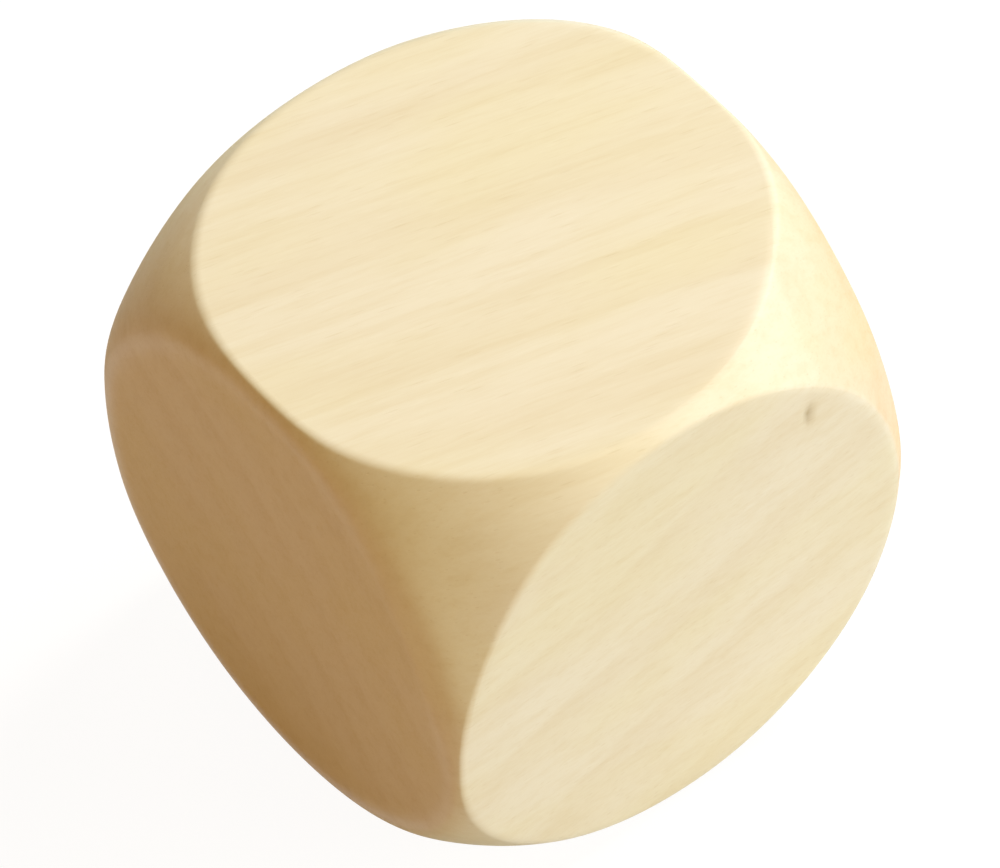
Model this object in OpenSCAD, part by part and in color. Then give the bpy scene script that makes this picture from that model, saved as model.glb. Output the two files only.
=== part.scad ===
// Wooden cube in the form of a blank die: a ball of wood cut to six round flats with softened rims.
// It stands on one flat, and the origin is the middle of that flat. All sizes are in millimetres.

/* [Cube] */
// Width across two opposite flats
cube_width = 25; // [12:0.5:50]
// Distance from the level part of a flat to the edge that a sharp cube would have
edge_inset = 0.8; // [0.6:0.1:4]
// Radius that softens the rim of each flat
rim_radius = 0.8; // [0.4:0.1:2]

/* [Hidden] */
$fn = 128;
half_width = cube_width / 2;
flat_radius = half_width - edge_inset;
// Arc of a rim, no rounder than the edge leaves room for
rim_arc = min(rim_radius, edge_inset);
// Centre of that arc, measured from the middle of the cube: along the flat's axis, then straight out
rim_level = half_width - rim_arc;
rim_reach = norm([flat_radius, rim_level]);
// Angle in degrees at which a rim's arc runs out into the ball, too slight to show as a crease
rim_break = 3;
// Ball that rounds the corners and the edges
ball_radius = rim_arc * cos(rim_break) + sqrt(rim_reach ^ 2 - (rim_arc * sin(rim_break)) ^ 2);
// Level, along its flat's axis, where a rim's arc stands furthest from the middle of the cube
shoulder_level = rim_level * (1 + rim_arc / rim_reach);

// Section of flat_pair(), from its axis outwards
module flat_pair_section() {
    translate([0, -half_width])
        square([flat_radius, cube_width]);
    for (side = [-1, 1])
        translate([flat_radius, side * rim_level])
            circle(rim_arc);
    translate([0, -shoulder_level])
        square([2 * ball_radius, 2 * shoulder_level]);
}

// Disc wider than the ball, with a round flat and its softened rim on either side
module flat_pair() {
    rotate_extrude()
        flat_pair_section();
}

module wooden_cube() {
    color("blanchedalmond")
        translate([0, 0, half_width])
            intersection() {
                sphere(ball_radius);
                flat_pair();
                rotate([90, 0, 0])
                    flat_pair();
                rotate([0, 90, 0])
                    flat_pair();
            }
}

wooden_cube();
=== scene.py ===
"""Looks of the wooden cube: a fine-sanded blank of pale wood that stands on a white studio floor."""
import itertools
import math

import bpy
import numpy as np
from mathutils import Matrix, Vector


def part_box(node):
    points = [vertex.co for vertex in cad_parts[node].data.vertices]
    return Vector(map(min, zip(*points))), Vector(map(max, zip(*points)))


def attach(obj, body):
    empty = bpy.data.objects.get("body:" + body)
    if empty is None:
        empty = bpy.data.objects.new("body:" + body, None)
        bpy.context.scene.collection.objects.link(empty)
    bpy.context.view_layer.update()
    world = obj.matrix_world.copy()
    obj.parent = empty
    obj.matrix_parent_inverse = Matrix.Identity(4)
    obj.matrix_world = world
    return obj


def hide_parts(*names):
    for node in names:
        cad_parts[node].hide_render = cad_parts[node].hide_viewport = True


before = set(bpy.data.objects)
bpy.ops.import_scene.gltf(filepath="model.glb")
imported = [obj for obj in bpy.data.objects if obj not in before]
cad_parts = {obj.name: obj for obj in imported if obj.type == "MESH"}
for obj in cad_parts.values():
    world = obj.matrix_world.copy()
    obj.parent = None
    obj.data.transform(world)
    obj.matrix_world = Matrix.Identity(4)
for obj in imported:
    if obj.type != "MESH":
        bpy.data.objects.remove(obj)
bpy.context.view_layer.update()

MM = 0.001
NODE = "wooden_cube"

# The cube's form, read from the frame. Points are measured from the middle of the cube.
low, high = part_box(NODE)
CENTRE = (low + high) / 2
HALF_WIDTH = (high.z - low.z) / 2
LEVEL_TOLERANCE = 0.001 * MM
cad_points = np.array([vertex.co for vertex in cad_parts[NODE].data.vertices]) - np.array(CENTRE)
on_top = cad_points[:, 2] > HALF_WIDTH - LEVEL_TOLERANCE
FLAT_RADIUS = np.linalg.norm(cad_points[on_top, :2], axis=1).max()
BALL_RADIUS = np.linalg.norm(cad_points, axis=1).max()
# The arc that touches both the flat and the ball
RIM_RADIUS = (BALL_RADIUS**2 - FLAT_RADIUS**2 - HALF_WIDTH**2) / (2 * (BALL_RADIUS - HALF_WIDTH))
SEAM_ANGLE = math.atan2(FLAT_RADIUS, HALF_WIDTH - RIM_RADIUS)
# How far below the ball the level part of a flat ends, which leaves room for the softened rim
RIM_ROOM = BALL_RADIUS - math.hypot(FLAT_RADIUS, HALF_WIDTH)

# The camera, in the photograph's frame: pixels, degrees and metres, with the sensor in millimetres
IMAGE_WIDTH = 1000
IMAGE_HEIGHT = 868
CUBE_PIXEL = (505.0, 437.4)
PIXELS_PER_HALF_WIDTH = 289.5
VIEW_AZIMUTH = 54.6
VIEW_ELEVATION = 50.5
VIEW_ROLL = -3.75
VIEW_DISTANCE = 24.6 * HALF_WIDTH
NEAREST_SEEN = 0.01
SENSOR_WIDTH = 36.0

# The cube's mesh: one square grid a side, whose rings run round the flat, its rim and the corners
RINGS = 64
FLAT_RINGS = 36
# How much closer together the rings lie on a rim than on the ball
RIM_WEIGHT = 2.0
# Keeps a division from zero
TINY = 1e-9
# A side cuts off only the directions that lean towards it by more than this
LEAST_LEAN = 0.1

# Unevenness of a tumbled cube: how deep its waves go and how long they are
CORNER_WAVE = (0.05 * MM, 9 * MM)
FLAT_WAVE = (0.006 * MM, 5 * MM)
# How many waves are added up, and how much shorter and longer than their usual length they can be
WAVE_COUNT = 24
WAVE_SPREAD = (0.7, 1.6)

# Tumbling wears the middles of the edges, some more than others. Below zero an edge is fuller instead.
USUAL_EDGE_WEAR_MM = 0.03
EDGE_WEAR_MM = {
    (0, 1, 1): -0.28,
    (1, -1, 0): 0.05,
    (0, -1, 1): -0.15,
    (-1, -1, 0): -0.25,
    (0, -1, -1): -0.08,
    (1, 0, -1): -0.06,
    (-1, 0, 1): -0.05,
    (1, 1, 0): 0.20,
    (0, 1, -1): 0.12,
    (-1, 0, -1): 0.08,
}
# Reach of that wear across an edge and along it, as parts of a direction of length 1
WEAR_BREADTH = 0.13
WEAR_LENGTH = 0.5
# One flat has lost more of its rim: its side, the depth, and the angles from its axis where that lies
WORN_RIM_SIDE = np.array([0, -1, 0])
WORN_RIM_DEPTH = 0.55 * MM
WORN_RIM_ANGLE = math.radians(40.5)
WORN_RIM_BREADTH = math.radians(2.8)
# How far the ball stands out or in near each corner. Some tops and dips lie aside, where wear is askew.
CORNER_REACH_MM = {
    (0.88, -0.88, 1.25): 0.35,
    (1, -1, 0.4): -0.36,
    (1, -0.80, -0.2): 0.55,
    (-1, -1, 1.3): 0.35,
    (-0.88, 1.1, 1): 0.80,
    (1, 1, 1): -0.25,
    (1, -1, -1): 0.15,
    (1, 1, -1): -0.02,
    (-1, -1, -1): 0.30,
    (-1, 1, -1): 0.20,
}
# Drop in the cosine of the angle from a top or dip over which it dies away
CORNER_SPREAD = 0.07
# A small nick near the upper rim of the +X side: its middle, its half-sizes, its depth and how fast it ends
NICK_MIDDLE = np.array([12.5, 6.75, 7.85]) * MM
NICK_HALF_SIZE = np.array([1.0, 0.26, 0.62]) * MM
NICK_DEPTH = 0.15 * MM
NICK_FALLOFF = 1.5

# Grain: the fibres run nearly along Y, and the growth rings cut the cube at a slant
FIBRE_AXIS = Vector((0.25, 0.96, 0.05)).normalized()
SIDE_AXIS = FIBRE_AXIS.cross(Vector((0.72, -0.30, 0.62))).normalized()
RING_AXIS = SIDE_AXIS.cross(FIBRE_AXIS)
PITH_DISTANCE_MM = 55.0
RING_SPACING_MM = 3.4
RING_WAVE_MM = 3.2
# How fine each layer of the grain is, per millimetre: along the fibres, out across the rings and round them
RING_WAVE_FINENESS = (0.03, 0.12, 0.12)
FIBRE_FINENESS = (0.07, 1.5, 1.5)
FINE_FIBRE_FINENESS = (0.35, 7.0, 7.0)
VESSEL_FINENESS = (0.28, 4.2, 4.2)
FLECK_FINENESS = (0.75, 1.3, 5.5)
PATCH_FINENESS = (0.06, 0.16, 0.16)
# Where each layer begins to show and where it shows in full, in the values of its noise, cells or ring
LATE_WOOD_RISE = (0.30, 0.84)
LATE_WOOD_END = (1.0, 0.88)
FIBRE_RANGE = (0.40, 0.74)
FINE_FIBRE_RANGE = (0.42, 0.82)
VESSEL_RANGE = (0.20, 0.06)
FLECK_RANGE = (0.34, 0.12)
PATCH_RANGE = (0.36, 0.66)
# Rings fade where the patches are yellow, down to the faintest
RING_RANGE = (0.72, 0.32)
FAINTEST_RING = 0.3
# How squarely a surface faces along the fibres where end grain begins to show, and where it is full
END_GRAIN_RANGE = (0.38, 1.0)

# Colours of the wood, in linear light, and what each layer of the grain multiplies them by
CREAM = (0.785, 0.745, 0.592)
YELLOW_TINT = (0.99, 0.985, 0.91)
RING_TINT = (0.972, 0.954, 0.92)
FIBRE_TINT = (0.965, 0.945, 0.90)
VESSEL_TINT = (0.80, 0.70, 0.56)
FLECK_TINT = (1.04, 1.05, 1.08)
END_GRAIN_TINT = (0.84, 0.69, 0.57)
NICK_TINT = (0.66, 0.60, 0.50)
# How much of a tint the layers take that don't take all of it
FINE_FIBRE_AMOUNT = 0.8
VESSEL_AMOUNT = 0.2
FLECK_AMOUNT = 0.3

# Surface of the wood: sanded matt, a little smoother on the tumbled rims, with fibres that stand up.
# The roughness rises between two values of the fine fibres' noise.
ROUGHNESS = (0.58, 0.70)
ROUGHNESS_RANGE = (0.3, 0.8)
RIM_POLISH = 0.25
SPECULAR_LEVEL = 0.1
FIBRE_RELIEF = 0.6
FINE_FIBRE_RELIEF = 0.5
VESSEL_RELIEF = -0.6
RELIEF_STRENGTH = 0.3
RELIEF_HEIGHT = 0.03 * MM

# White studio: what the camera and reflections see is white, and only the shadow stays on the floor
FLOOR_HALF_SIZE = 3.0
FLOOR_COLOUR = (0.77, 0.77, 0.77, 1)
FLOOR_SHADOW = (0.11, 0.11, 0.11, 1)
FLOOR_GLOW = 0.93
WORLD_FILL = (1.0, 0.92, 0.75, 1)
WORLD_STRENGTH = 0.07
LAMP_DISTANCE = 0.5
LAMP_SIZE = 0.25
WHITE = (1, 1, 1)
WARM_WHITE = (1.0, 0.92, 0.78)
AMBER = (1.0, 0.59, 0.135)


def make_camera():
    """The photograph's view: the cube's middle at its pixel, at its scale and slight roll."""
    azimuth = math.radians(VIEW_AZIMUTH)
    elevation = math.radians(VIEW_ELEVATION)
    roll = math.radians(VIEW_ROLL)
    back = Vector((math.sin(azimuth) * math.cos(elevation), -math.cos(azimuth) * math.cos(elevation),
                   math.sin(elevation)))
    level_right = Vector((math.cos(azimuth), math.sin(azimuth), 0))
    level_up = back.cross(level_right)
    right = math.cos(roll) * level_right + math.sin(roll) * level_up
    up = back.cross(right)
    metres_per_pixel = HALF_WIDTH / PIXELS_PER_HALF_WIDTH
    aside = (IMAGE_WIDTH / 2 - CUBE_PIXEL[0]) * metres_per_pixel
    above = (CUBE_PIXEL[1] - IMAGE_HEIGHT / 2) * metres_per_pixel
    data = bpy.data.cameras.new("camera")
    data.sensor_width = SENSOR_WIDTH
    data.lens = SENSOR_WIDTH * VIEW_DISTANCE / (metres_per_pixel * IMAGE_WIDTH)
    data.clip_start = NEAREST_SEEN
    camera = bpy.data.objects.new("camera", data)
    place = CENTRE + back * VIEW_DISTANCE + right * aside + up * above
    camera.matrix_world = Matrix.Translation(place) @ Matrix((right, up, back)).transposed().to_4x4()
    bpy.context.scene.collection.objects.link(camera)
    bpy.context.scene.camera = camera


def side_grid():
    """Directions of the side that faces +Z, each with the grid step that it stands at."""
    steps = np.arange(-RINGS, RINGS + 1)
    a, b = (grid.ravel() for grid in np.meshgrid(steps, steps, indexing="ij"))
    ring = np.maximum(abs(a), abs(b))
    longest = np.where(abs(a) >= abs(b), a, b)
    across = np.where(abs(a) >= abs(b), b, a)
    eighth = math.pi / 4 * across / np.where(longest == 0, 1, longest)
    turn = np.where(abs(a) >= abs(b), eighth, math.pi / 2 - eighth) + math.pi * (longest < 0)

    edge_tilt = np.arctan(1 / np.maximum(abs(np.cos(turn)), abs(np.sin(turn))))
    flat_tilt = math.atan2(FLAT_RADIUS, HALF_WIDTH)
    rim_part = RIM_WEIGHT * (SEAM_ANGLE - flat_tilt)
    rim_share = rim_part / (rim_part + edge_tilt - SEAM_ANGLE)
    beyond = np.clip((ring - FLAT_RINGS) / (RINGS - FLAT_RINGS), 0, 1)
    on_rim = np.minimum(beyond / rim_share, 1)
    on_ball = np.clip((beyond - rim_share) / np.maximum(1 - rim_share, TINY), 0, 1)

    on_flat = np.arctan2(FLAT_RADIUS * np.minimum(ring / FLAT_RINGS, 1), HALF_WIDTH)
    tilt = on_flat + on_rim * (SEAM_ANGLE - flat_tilt) + on_ball * (edge_tilt - SEAM_ANGLE)
    directions = np.stack([np.sin(tilt) * np.cos(turn), np.sin(tilt) * np.sin(turn), np.cos(tilt)], axis=1)
    return directions, np.stack([a, b, np.full_like(a, RINGS)], axis=1)


def six_sides():
    """The rotations that turn the +Z side to each side of the cube."""
    third_turn = np.array([[0, 0, 1], [1, 0, 0], [0, 1, 0]])
    half_turn = np.diag([1, -1, -1])
    thirds = [np.linalg.matrix_power(third_turn, count) for count in range(3)]
    return thirds + [third @ half_turn for third in thirds]


def cube_grid():
    """Directions and quads all round the cube, with its sides welded along their shared edges."""
    directions, steps = side_grid()
    turns = six_sides()
    all_steps = np.concatenate([steps @ turn.T for turn in turns])
    _, first, weld = np.unique(all_steps, axis=0, return_index=True, return_inverse=True)
    all_directions = np.concatenate([directions @ turn.T for turn in turns])[first]
    count = 2 * RINGS + 1
    index = np.arange(count * count).reshape(count, count)
    corners = [index[:-1, :-1], index[1:, :-1], index[1:, 1:], index[:-1, 1:]]
    quads = np.stack(corners, axis=-1).reshape(-1, 4)
    all_quads = np.concatenate([quads + side * len(directions) for side in range(len(turns))])
    return all_directions, weld.ravel()[all_quads]


def smooth_field(points, wavelength, seed):
    """A smooth random field from about -1 to 1, made of waves in random directions."""
    random = np.random.default_rng(seed)
    directions = random.normal(size=(WAVE_COUNT, 3))
    directions /= np.linalg.norm(directions, axis=1)[:, None]
    pitch = wavelength * random.uniform(*WAVE_SPREAD, WAVE_COUNT)
    phases = random.uniform(0, 2 * math.pi, WAVE_COUNT)
    waves = np.cos(points @ (2 * math.pi * directions / pitch[:, None]).T + phases)
    return np.tanh(waves.sum(axis=1) / math.sqrt(WAVE_COUNT))


def worn_depth(directions):
    """How much wood is gone at the middles of the twelve edges and round the worn rim."""
    depth = np.zeros(len(directions))
    for edge in itertools.product((-1, 0, 1), repeat=3):
        if edge.count(0) != 1:
            continue
        deepest = EDGE_WEAR_MM.get(edge, USUAL_EDGE_WEAR_MM) * MM
        along_axis = edge.index(0)
        one, other = (directions[:, axis] * edge[axis] for axis in range(3) if axis != along_axis)
        beside = np.where(one + other > 0, (one - other) / WEAR_BREADTH, np.inf)
        depth += deepest * np.exp(-beside**2 / 2 - (directions[:, along_axis] / WEAR_LENGTH)**4)
    rim_angle = np.arccos(np.clip(directions @ WORN_RIM_SIDE, -1, 1))
    depth += WORN_RIM_DEPTH * np.exp(-((rim_angle - WORN_RIM_ANGLE) / WORN_RIM_BREADTH)**2 / 2)
    return depth


def corner_height(directions):
    """How far the corners stand out from the ball."""
    height = np.zeros(len(directions))
    for corner, reach in CORNER_REACH_MM.items():
        away = 1 - directions @ np.array(corner) / np.linalg.norm(corner)
        height += reach * MM * np.exp(-away / CORNER_SPREAD)
    return height


def soft_min(one, other, room):
    """The smaller of two lengths, eased where they are less than room apart."""
    return np.minimum(one, other) - np.maximum(room - abs(one - other), 0)**2 / (4 * room)


def nick_share(points):
    """1 in the middle of the nick, easing to 0 round it."""
    away = np.linalg.norm((points - NICK_MIDDLE) / NICK_HALF_SIZE, axis=1)
    return np.exp(-NICK_FALLOFF * away**2)


def tumbled_form(directions):
    """The tumbled cube's points, with how far each lies in the nick and on a rim, from 0 to 1."""
    wave_depth, wavelength = CORNER_WAVE
    ball = BALL_RADIUS + corner_height(directions) - worn_depth(directions)
    ball -= wave_depth * (1 + smooth_field(directions * BALL_RADIUS, wavelength, seed=4)) / 2
    lean = np.maximum(abs(directions), LEAST_LEAN)
    radius = ball
    for axis in range(3):
        radius = soft_min(radius, HALF_WIDTH / lean[:, axis], RIM_ROOM)
    flat = HALF_WIDTH / abs(directions).max(axis=1)
    rim = np.exp(-((flat - ball) / RIM_ROOM)**2)

    points = directions * radius[:, None]
    nick = nick_share(points)
    relief_depth, relief_length = FLAT_WAVE
    relief = relief_depth * (1 + smooth_field(points, relief_length, seed=9)) / 2
    points -= directions * (relief + NICK_DEPTH * nick)[:, None]
    return points, nick, rim


def make_cube(material):
    """The tumbled cube, shown in place of the plain solid."""
    directions, quads = cube_grid()
    points, nick, rim = tumbled_form(directions)
    mesh = bpy.data.meshes.new("tumbled_cube")
    mesh.from_pydata((points + np.array(CENTRE)).tolist(), [], quads.tolist())
    mesh.polygons.foreach_set("use_smooth", [True] * len(mesh.polygons))
    for name, values in (("nick", nick), ("rim", rim)):
        mesh.attributes.new(name, "FLOAT", "POINT").data.foreach_set("value", values.astype(np.float32))
    mesh.materials.append(material)
    cube = bpy.data.objects.new("tumbled_cube", mesh)
    bpy.context.scene.collection.objects.link(cube)
    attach(cube, "root")
    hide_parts(NODE)


class Nodes:
    """Short calls that add nodes to one node tree. Each returns the new node's output."""

    def __init__(self, tree):
        self.tree = tree

    def add(self, kind, inputs, output=0, **settings):
        node = self.tree.nodes.new("ShaderNode" + kind)
        for name, value in settings.items():
            setattr(node, name, value)
        for name, value in inputs.items():
            if isinstance(value, bpy.types.NodeSocket):
                self.tree.links.new(value, node.inputs[name])
            else:
                node.inputs[name].default_value = value
        return None if output is None else node.outputs[output]

    def math(self, operation, *values):
        return self.add("Math", dict(enumerate(values)), operation=operation)

    def dot(self, vector, axis):
        return self.add("VectorMath", {0: vector, 1: axis}, output="Value", operation="DOT_PRODUCT")

    def stretch(self, vector, factors):
        return self.add("VectorMath", {0: vector, 1: factors}, operation="MULTIPLY")

    def attribute(self, name):
        """A value that the mesh keeps at its points."""
        return self.add("Attribute", {}, output="Fac", attribute_name=name)

    def noise(self, vector, fineness, detail, roughness=0.5):
        """Smooth noise from 0 to 1."""
        place = self.stretch(vector, fineness)
        inputs = {"Vector": place, "Scale": 1.0, "Detail": detail, "Roughness": roughness}
        return self.add("TexNoise", inputs)

    def cells(self, vector, fineness):
        """Distance to the nearest of many scattered points."""
        place = self.stretch(vector, fineness)
        return self.add("TexVoronoi", {"Vector": place, "Scale": 1.0, "Randomness": 1.0})

    def ramp(self, value, start, end, low=0.0, high=1.0):
        """Eases from low to high as value goes from start to end."""
        inputs = {"Value": value, "From Min": start, "From Max": end, "To Min": low, "To Max": high}
        return self.add("MapRange", inputs, interpolation_type="SMOOTHSTEP")

    def tint(self, colour, tint, amount):
        """Multiplies colour by tint, as far as amount says."""
        inputs = {0: amount, 6: colour, 7: (*tint, 1)}
        return self.add("Mix", inputs, output=2, data_type="RGBA", blend_type="MULTIPLY")


def late_wood(nodes, grain, out, aside):
    """The darker part of each growth ring. Rings are wavy, and curve about a pith outside the cube."""
    wave = nodes.math("MULTIPLY", nodes.noise(grain, RING_WAVE_FINENESS, detail=3.0), RING_WAVE_MM)
    from_pith = nodes.math("ADD", out, PITH_DISTANCE_MM)
    squares = nodes.math("ADD", nodes.math("POWER", from_pith, 2.0), nodes.math("POWER", aside, 2.0))
    ring_place = nodes.math("ADD", nodes.math("SQRT", squares), wave)
    ring = nodes.math("FRACT", nodes.math("DIVIDE", ring_place, RING_SPACING_MM))
    return nodes.math("MULTIPLY", nodes.ramp(ring, *LATE_WOOD_RISE), nodes.ramp(ring, *LATE_WOOD_END))


def wood_material():
    """Pale close-grained wood, cut solid: rings, fibres, vessels and flecks all run through the block."""
    material = bpy.data.materials.new("wood")
    material.use_nodes = True
    tree = material.node_tree
    shader = tree.nodes["Principled BSDF"]
    nodes = Nodes(tree)
    coordinates = tree.nodes.new("ShaderNodeTexCoord")
    place = coordinates.outputs["Object"]

    # Place in the grain, in millimetres: along the fibres, out across the rings, and round them
    along, out, aside = (nodes.math("MULTIPLY", nodes.dot(place, axis), 1 / MM)
                         for axis in (FIBRE_AXIS, RING_AXIS, SIDE_AXIS))
    grain = nodes.add("CombineXYZ", {"X": along, "Y": out, "Z": aside})
    facing = nodes.math("ABSOLUTE", nodes.dot(coordinates.outputs["Normal"], FIBRE_AXIS))

    # Layers of the grain, with broad patches of a yellower cream
    fibres = nodes.noise(grain, FIBRE_FINENESS, detail=4.0, roughness=0.6)
    fine_fibres = nodes.noise(grain, FINE_FIBRE_FINENESS, detail=3.0, roughness=0.6)
    vessels = nodes.ramp(nodes.cells(grain, VESSEL_FINENESS), *VESSEL_RANGE)
    flecks = nodes.ramp(nodes.cells(grain, FLECK_FINENESS), *FLECK_RANGE)
    patches = nodes.noise(grain, PATCH_FINENESS, detail=2.0)
    ring_strength = nodes.ramp(patches, *RING_RANGE, low=FAINTEST_RING)
    rings = nodes.math("MULTIPLY", late_wood(nodes, grain, out, aside), ring_strength)

    fine_fibre_share = nodes.ramp(fine_fibres, *FINE_FIBRE_RANGE, high=FINE_FIBRE_AMOUNT)
    colour = nodes.tint((*CREAM, 1), YELLOW_TINT, nodes.ramp(patches, *PATCH_RANGE))
    colour = nodes.tint(colour, RING_TINT, rings)
    colour = nodes.tint(colour, FIBRE_TINT, nodes.ramp(fibres, *FIBRE_RANGE))
    colour = nodes.tint(colour, FIBRE_TINT, fine_fibre_share)
    colour = nodes.tint(colour, FLECK_TINT, nodes.math("MULTIPLY", flecks, FLECK_AMOUNT))
    colour = nodes.tint(colour, VESSEL_TINT, nodes.math("MULTIPLY", vessels, VESSEL_AMOUNT))
    colour = nodes.tint(colour, END_GRAIN_TINT, nodes.ramp(facing, *END_GRAIN_RANGE))
    colour = nodes.tint(colour, NICK_TINT, nodes.attribute("nick"))
    tree.links.new(colour, shader.inputs["Base Color"])

    matt = nodes.ramp(fine_fibres, *ROUGHNESS_RANGE, *ROUGHNESS)
    polish = nodes.math("MULTIPLY", nodes.attribute("rim"), RIM_POLISH)
    tree.links.new(nodes.math("SUBTRACT", matt, polish), shader.inputs["Roughness"])
    shader.inputs["Specular IOR Level"].default_value = SPECULAR_LEVEL

    # Fibres stand up a little, and vessels are tiny furrows
    furrows = nodes.math("MULTIPLY", vessels, VESSEL_RELIEF)
    relief = nodes.math("ADD", nodes.math("MULTIPLY", fine_fibres, FINE_FIBRE_RELIEF), furrows)
    relief = nodes.math("ADD", relief, nodes.math("MULTIPLY", fibres, FIBRE_RELIEF))
    bump = nodes.add("Bump", {"Height": relief, "Strength": RELIEF_STRENGTH, "Distance": RELIEF_HEIGHT})
    tree.links.new(bump, shader.inputs["Normal"])
    return material


def seen_directly(nodes):
    """1 for the camera, for reflections and for what shows through glass, and 0 for light that falls."""
    path = nodes.tree.nodes.new("ShaderNodeLightPath")
    mirrored = nodes.math("MAXIMUM", path.outputs["Is Glossy Ray"], path.outputs["Is Transmission Ray"])
    return nodes.math("MAXIMUM", path.outputs["Is Camera Ray"], mirrored)


def floor_material():
    """Pale paper for the light that falls, and white with a soft shadow where it is seen."""
    material = bpy.data.materials.new("floor")
    material.use_nodes = True
    material.node_tree.nodes.clear()
    nodes = Nodes(material.node_tree)
    paper = nodes.add("BsdfDiffuse", {"Color": FLOOR_COLOUR})
    shadow = nodes.add("BsdfDiffuse", {"Color": FLOOR_SHADOW})
    glow = nodes.add("Emission", {"Strength": FLOOR_GLOW})
    white = nodes.add("AddShader", {0: shadow, 1: glow})
    mixed = nodes.add("MixShader", {0: seen_directly(nodes), 1: paper, 2: white})
    nodes.add("OutputMaterial", {"Surface": mixed}, output=None)
    return material


def make_floor():
    """A level square, wide enough to fill the view."""
    signs = ((-1, -1), (1, -1), (1, 1), (-1, 1))
    corners = [(x * FLOOR_HALF_SIZE, y * FLOOR_HALF_SIZE, 0) for x, y in signs]
    mesh = bpy.data.meshes.new("floor")
    mesh.from_pydata(corners, [], [(0, 1, 2, 3)])
    mesh.materials.append(floor_material())
    floor = bpy.data.objects.new("floor", mesh)
    bpy.context.scene.collection.objects.link(floor)


def area_light(name, azimuth, elevation, power, colour=WHITE):
    """A soft round lamp that faces the cube, at an azimuth from +X towards +Y and at an elevation."""
    data = bpy.data.lights.new(name, "AREA")
    data.shape = "DISK"
    data.size = LAMP_SIZE
    data.energy = power
    data.color = colour
    light = bpy.data.objects.new(name, data)
    turn = math.radians(azimuth)
    rise = math.radians(elevation)
    toward = Vector((math.cos(turn) * math.cos(rise), math.sin(turn) * math.cos(rise), math.sin(rise)))
    light.location = CENTRE + toward * LAMP_DISTANCE
    light.rotation_mode = "QUATERNION"
    light.rotation_quaternion = toward.to_track_quat("Z", "Y")
    bpy.context.scene.collection.objects.link(light)


def make_world():
    """A weak warm fill from all round, seen as white."""
    world = bpy.data.worlds.new("world")
    bpy.context.scene.world = world
    world.use_nodes = True
    world.node_tree.nodes.clear()
    nodes = Nodes(world.node_tree)
    fill = nodes.add("Background", {"Color": WORLD_FILL, "Strength": WORLD_STRENGTH})
    white = nodes.add("Background", {"Color": (*WHITE, 1), "Strength": 1.0})
    mixed = nodes.add("MixShader", {0: seen_directly(nodes), 1: fill, 2: white})
    nodes.add("OutputWorld", {"Surface": mixed}, output=None)


bpy.context.scene.view_settings.view_transform = "Standard"
make_camera()
make_cube(wood_material())
make_floor()
area_light("key", azimuth=95, elevation=50, power=2.29)
area_light("right", azimuth=35, elevation=14, power=1.57)
area_light("back", azimuth=160, elevation=30, power=0.28, colour=WARM_WHITE)
area_light("reflector", azimuth=-65, elevation=45, power=0.89, colour=AMBER)
make_world()
